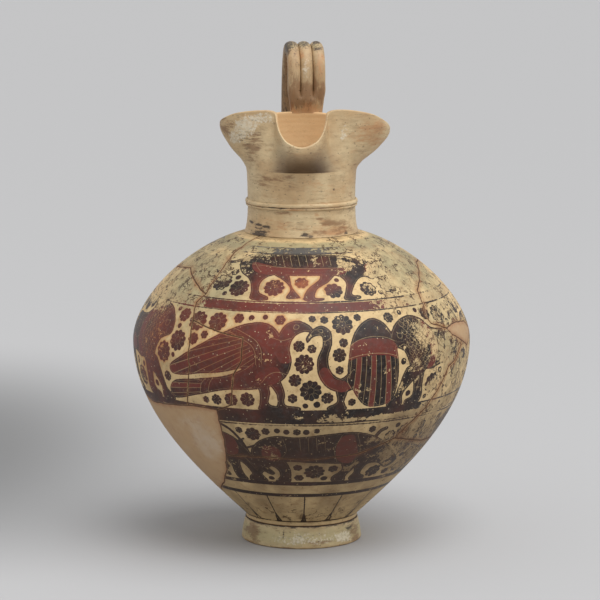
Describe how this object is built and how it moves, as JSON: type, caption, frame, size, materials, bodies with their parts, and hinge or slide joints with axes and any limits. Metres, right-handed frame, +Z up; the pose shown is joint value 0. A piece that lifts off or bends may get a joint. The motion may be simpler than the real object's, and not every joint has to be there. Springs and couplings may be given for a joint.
{
  "type": "trefoil-mouth wine jug",
  "caption": "Painted clay wine jug with a round belly, ring foot, three-lobed pouring mouth and a tall handle of three rolls, mended from sherds",
  "frame": {"origin": "middle of the circle that the foot rests on", "axes": "+Z up along the jug's axis, spout towards -Y, handle towards +Y, +X to the right of the spout as a viewer faces it"},
  "size_m": [0.31, 0.31, 0.4534],
  "materials": {
    "painted_clay": "cream slip with dark and maroon painted friezes, semi-gloss, worn",
    "slipped_clay": "buff clay under a thin pale slip, satin, stained",
    "fill_plaster": "smooth matt toned plaster"
  },
  "bodies": {
    "root": {"foot_ring": "slipped_clay", "sherd_shoulder_left": "painted_clay", "sherd_side_left": "painted_clay", "sherd_front_left": "painted_clay", "sherd_front": "painted_clay", "sherd_shoulder_right": "painted_clay", "sherd_side_right": "painted_clay", "sherd_back": "painted_clay", "sherd_base": "painted_clay", "fill_lower_left": "fill_plaster", "fill_right_belly": "fill_plaster", "neck_and_mouth": "slipped_clay", "neck_ring": "slipped_clay", "handle_reed_left": "slipped_clay", "handle_reed_middle": "slipped_clay", "handle_reed_right": "slipped_clay", "handle_root_rim": "slipped_clay", "handle_root_shoulder": "slipped_clay"}
  },
  "joints": []
}
